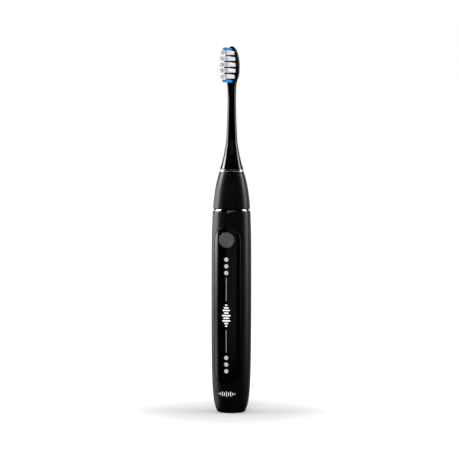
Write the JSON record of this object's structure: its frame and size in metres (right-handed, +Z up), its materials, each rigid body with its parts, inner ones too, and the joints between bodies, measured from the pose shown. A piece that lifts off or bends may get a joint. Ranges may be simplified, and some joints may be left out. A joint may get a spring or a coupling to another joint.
{
  "type": "electric toothbrush",
  "caption": "Slim sonic toothbrush standing on its base: turned black handle with inlaid control panel, push button and a pull-off brush head with white and blue bristles.",
  "frame": {"origin": "centre of the flat base, on the surface that the toothbrush stands on", "axes": "+Z up along the handle's axis towards the brush head; -Y out of the front, where the button and the control panel are; +X to the right as seen from the front"},
  "size_m": [0.0274, 0.0274, 0.2501],
  "materials": {
    "satin_black_plastic": "fine moulded satin, black",
    "gloss_black_plastic": "polished moulding, black",
    "chrome_trim": "bright chrome plate",
    "spun_metal": "spun face with fine rings, dark anodised",
    "light_diffuser": "milky clear, lit white",
    "bristle_white": "nylon filaments, white",
    "bristle_blue": "nylon filaments, blue",
    "shaft_steel": "ground stainless steel",
    "soft_iron": "stamped soft iron",
    "nickel_plate": "nickel plate",
    "winding_copper": "enamelled copper wire",
    "seal_rubber": "moulded silicone rubber",
    "board_laminate": "green solder mask",
    "frame_plastic": "plain moulded, grey",
    "cell_wrap": "shrink sleeve over a metal can, blue"
  },
  "bodies": {
    "handle": {"handle_casing": "satin_black_plastic", "nose_cone": "satin_black_plastic", "bottom_cap": "satin_black_plastic", "control_panel": "gloss_black_plastic", "seam_ring": "chrome_trim", "mode_light_1": "light_diffuser", "mode_light_2": "light_diffuser", "mode_light_3": "light_diffuser", "battery_light_1": "light_diffuser", "battery_light_2": "light_diffuser", "battery_light_3": "light_diffuser", "motor_can": "shaft_steel", "motor_cover": "shaft_steel", "board_screw_lower": "shaft_steel", "board_screw_upper": "shaft_steel", "return_spring": "shaft_steel", "stator_core_left": "soft_iron", "stator_core_right": "soft_iron", "tactile_switch": "soft_iron", "battery_tab_lower": "nickel_plate", "battery_tab_upper": "nickel_plate", "stator_coil_left": "winding_copper", "stator_coil_right": "winding_copper", "charge_coil": "winding_copper", "bearing_lower": "winding_copper", "bearing_upper": "winding_copper", "base_seal": "seal_rubber", "nose_seal": "seal_rubber", "shaft_seal": "seal_rubber", "button_seal": "seal_rubber", "battery_pad": "seal_rubber", "motor_damper_lower": "seal_rubber", "motor_damper_upper": "seal_rubber", "circuit_board": "board_laminate", "chassis": "frame_plastic", "charge_bobbin": "frame_plastic", "battery_cell": "cell_wrap"},
    "drive": {"drive_shaft": "shaft_steel", "rotor_hub": "soft_iron", "rotor_magnet_1": "nickel_plate", "rotor_magnet_2": "nickel_plate", "rotor_magnet_3": "nickel_plate", "rotor_magnet_4": "nickel_plate"},
    "brush_head": {"brush_body": "gloss_black_plastic", "id_ring": "chrome_trim", "coupling_sleeve": "frame_plastic", "coupling_clip": "shaft_steel", "bristle_row_1": "bristle_white", "bristle_row_2": "bristle_white", "bristle_row_3": "bristle_white", "bristle_row_4": "bristle_white", "bristle_row_5": "bristle_white", "bristle_tip_top": "bristle_blue", "bristle_tip_bottom": "bristle_blue"},
    "power_button": {"power_button": "spun_metal"}
  },
  "joints": [
    {"name": "shaft_oscillation", "type": "hinge", "parent": "handle", "child": "drive", "pos_m": [0, 0, 0.11], "axis": [0, 0, 1], "range_deg": [-6, 6], "stiffness_Nm_per_rad": 0.002},
    {"name": "head_pull_off", "type": "slide", "parent": "drive", "child": "brush_head", "axis": [0, 0, 1], "range_m": [0, 0.03]},
    {"name": "button_press", "type": "slide", "parent": "handle", "child": "power_button", "axis": [0, 1, 0], "range_m": [0, 0.0006], "stiffness_N_per_m": 150, "springref_m": -0.002}
  ]
}
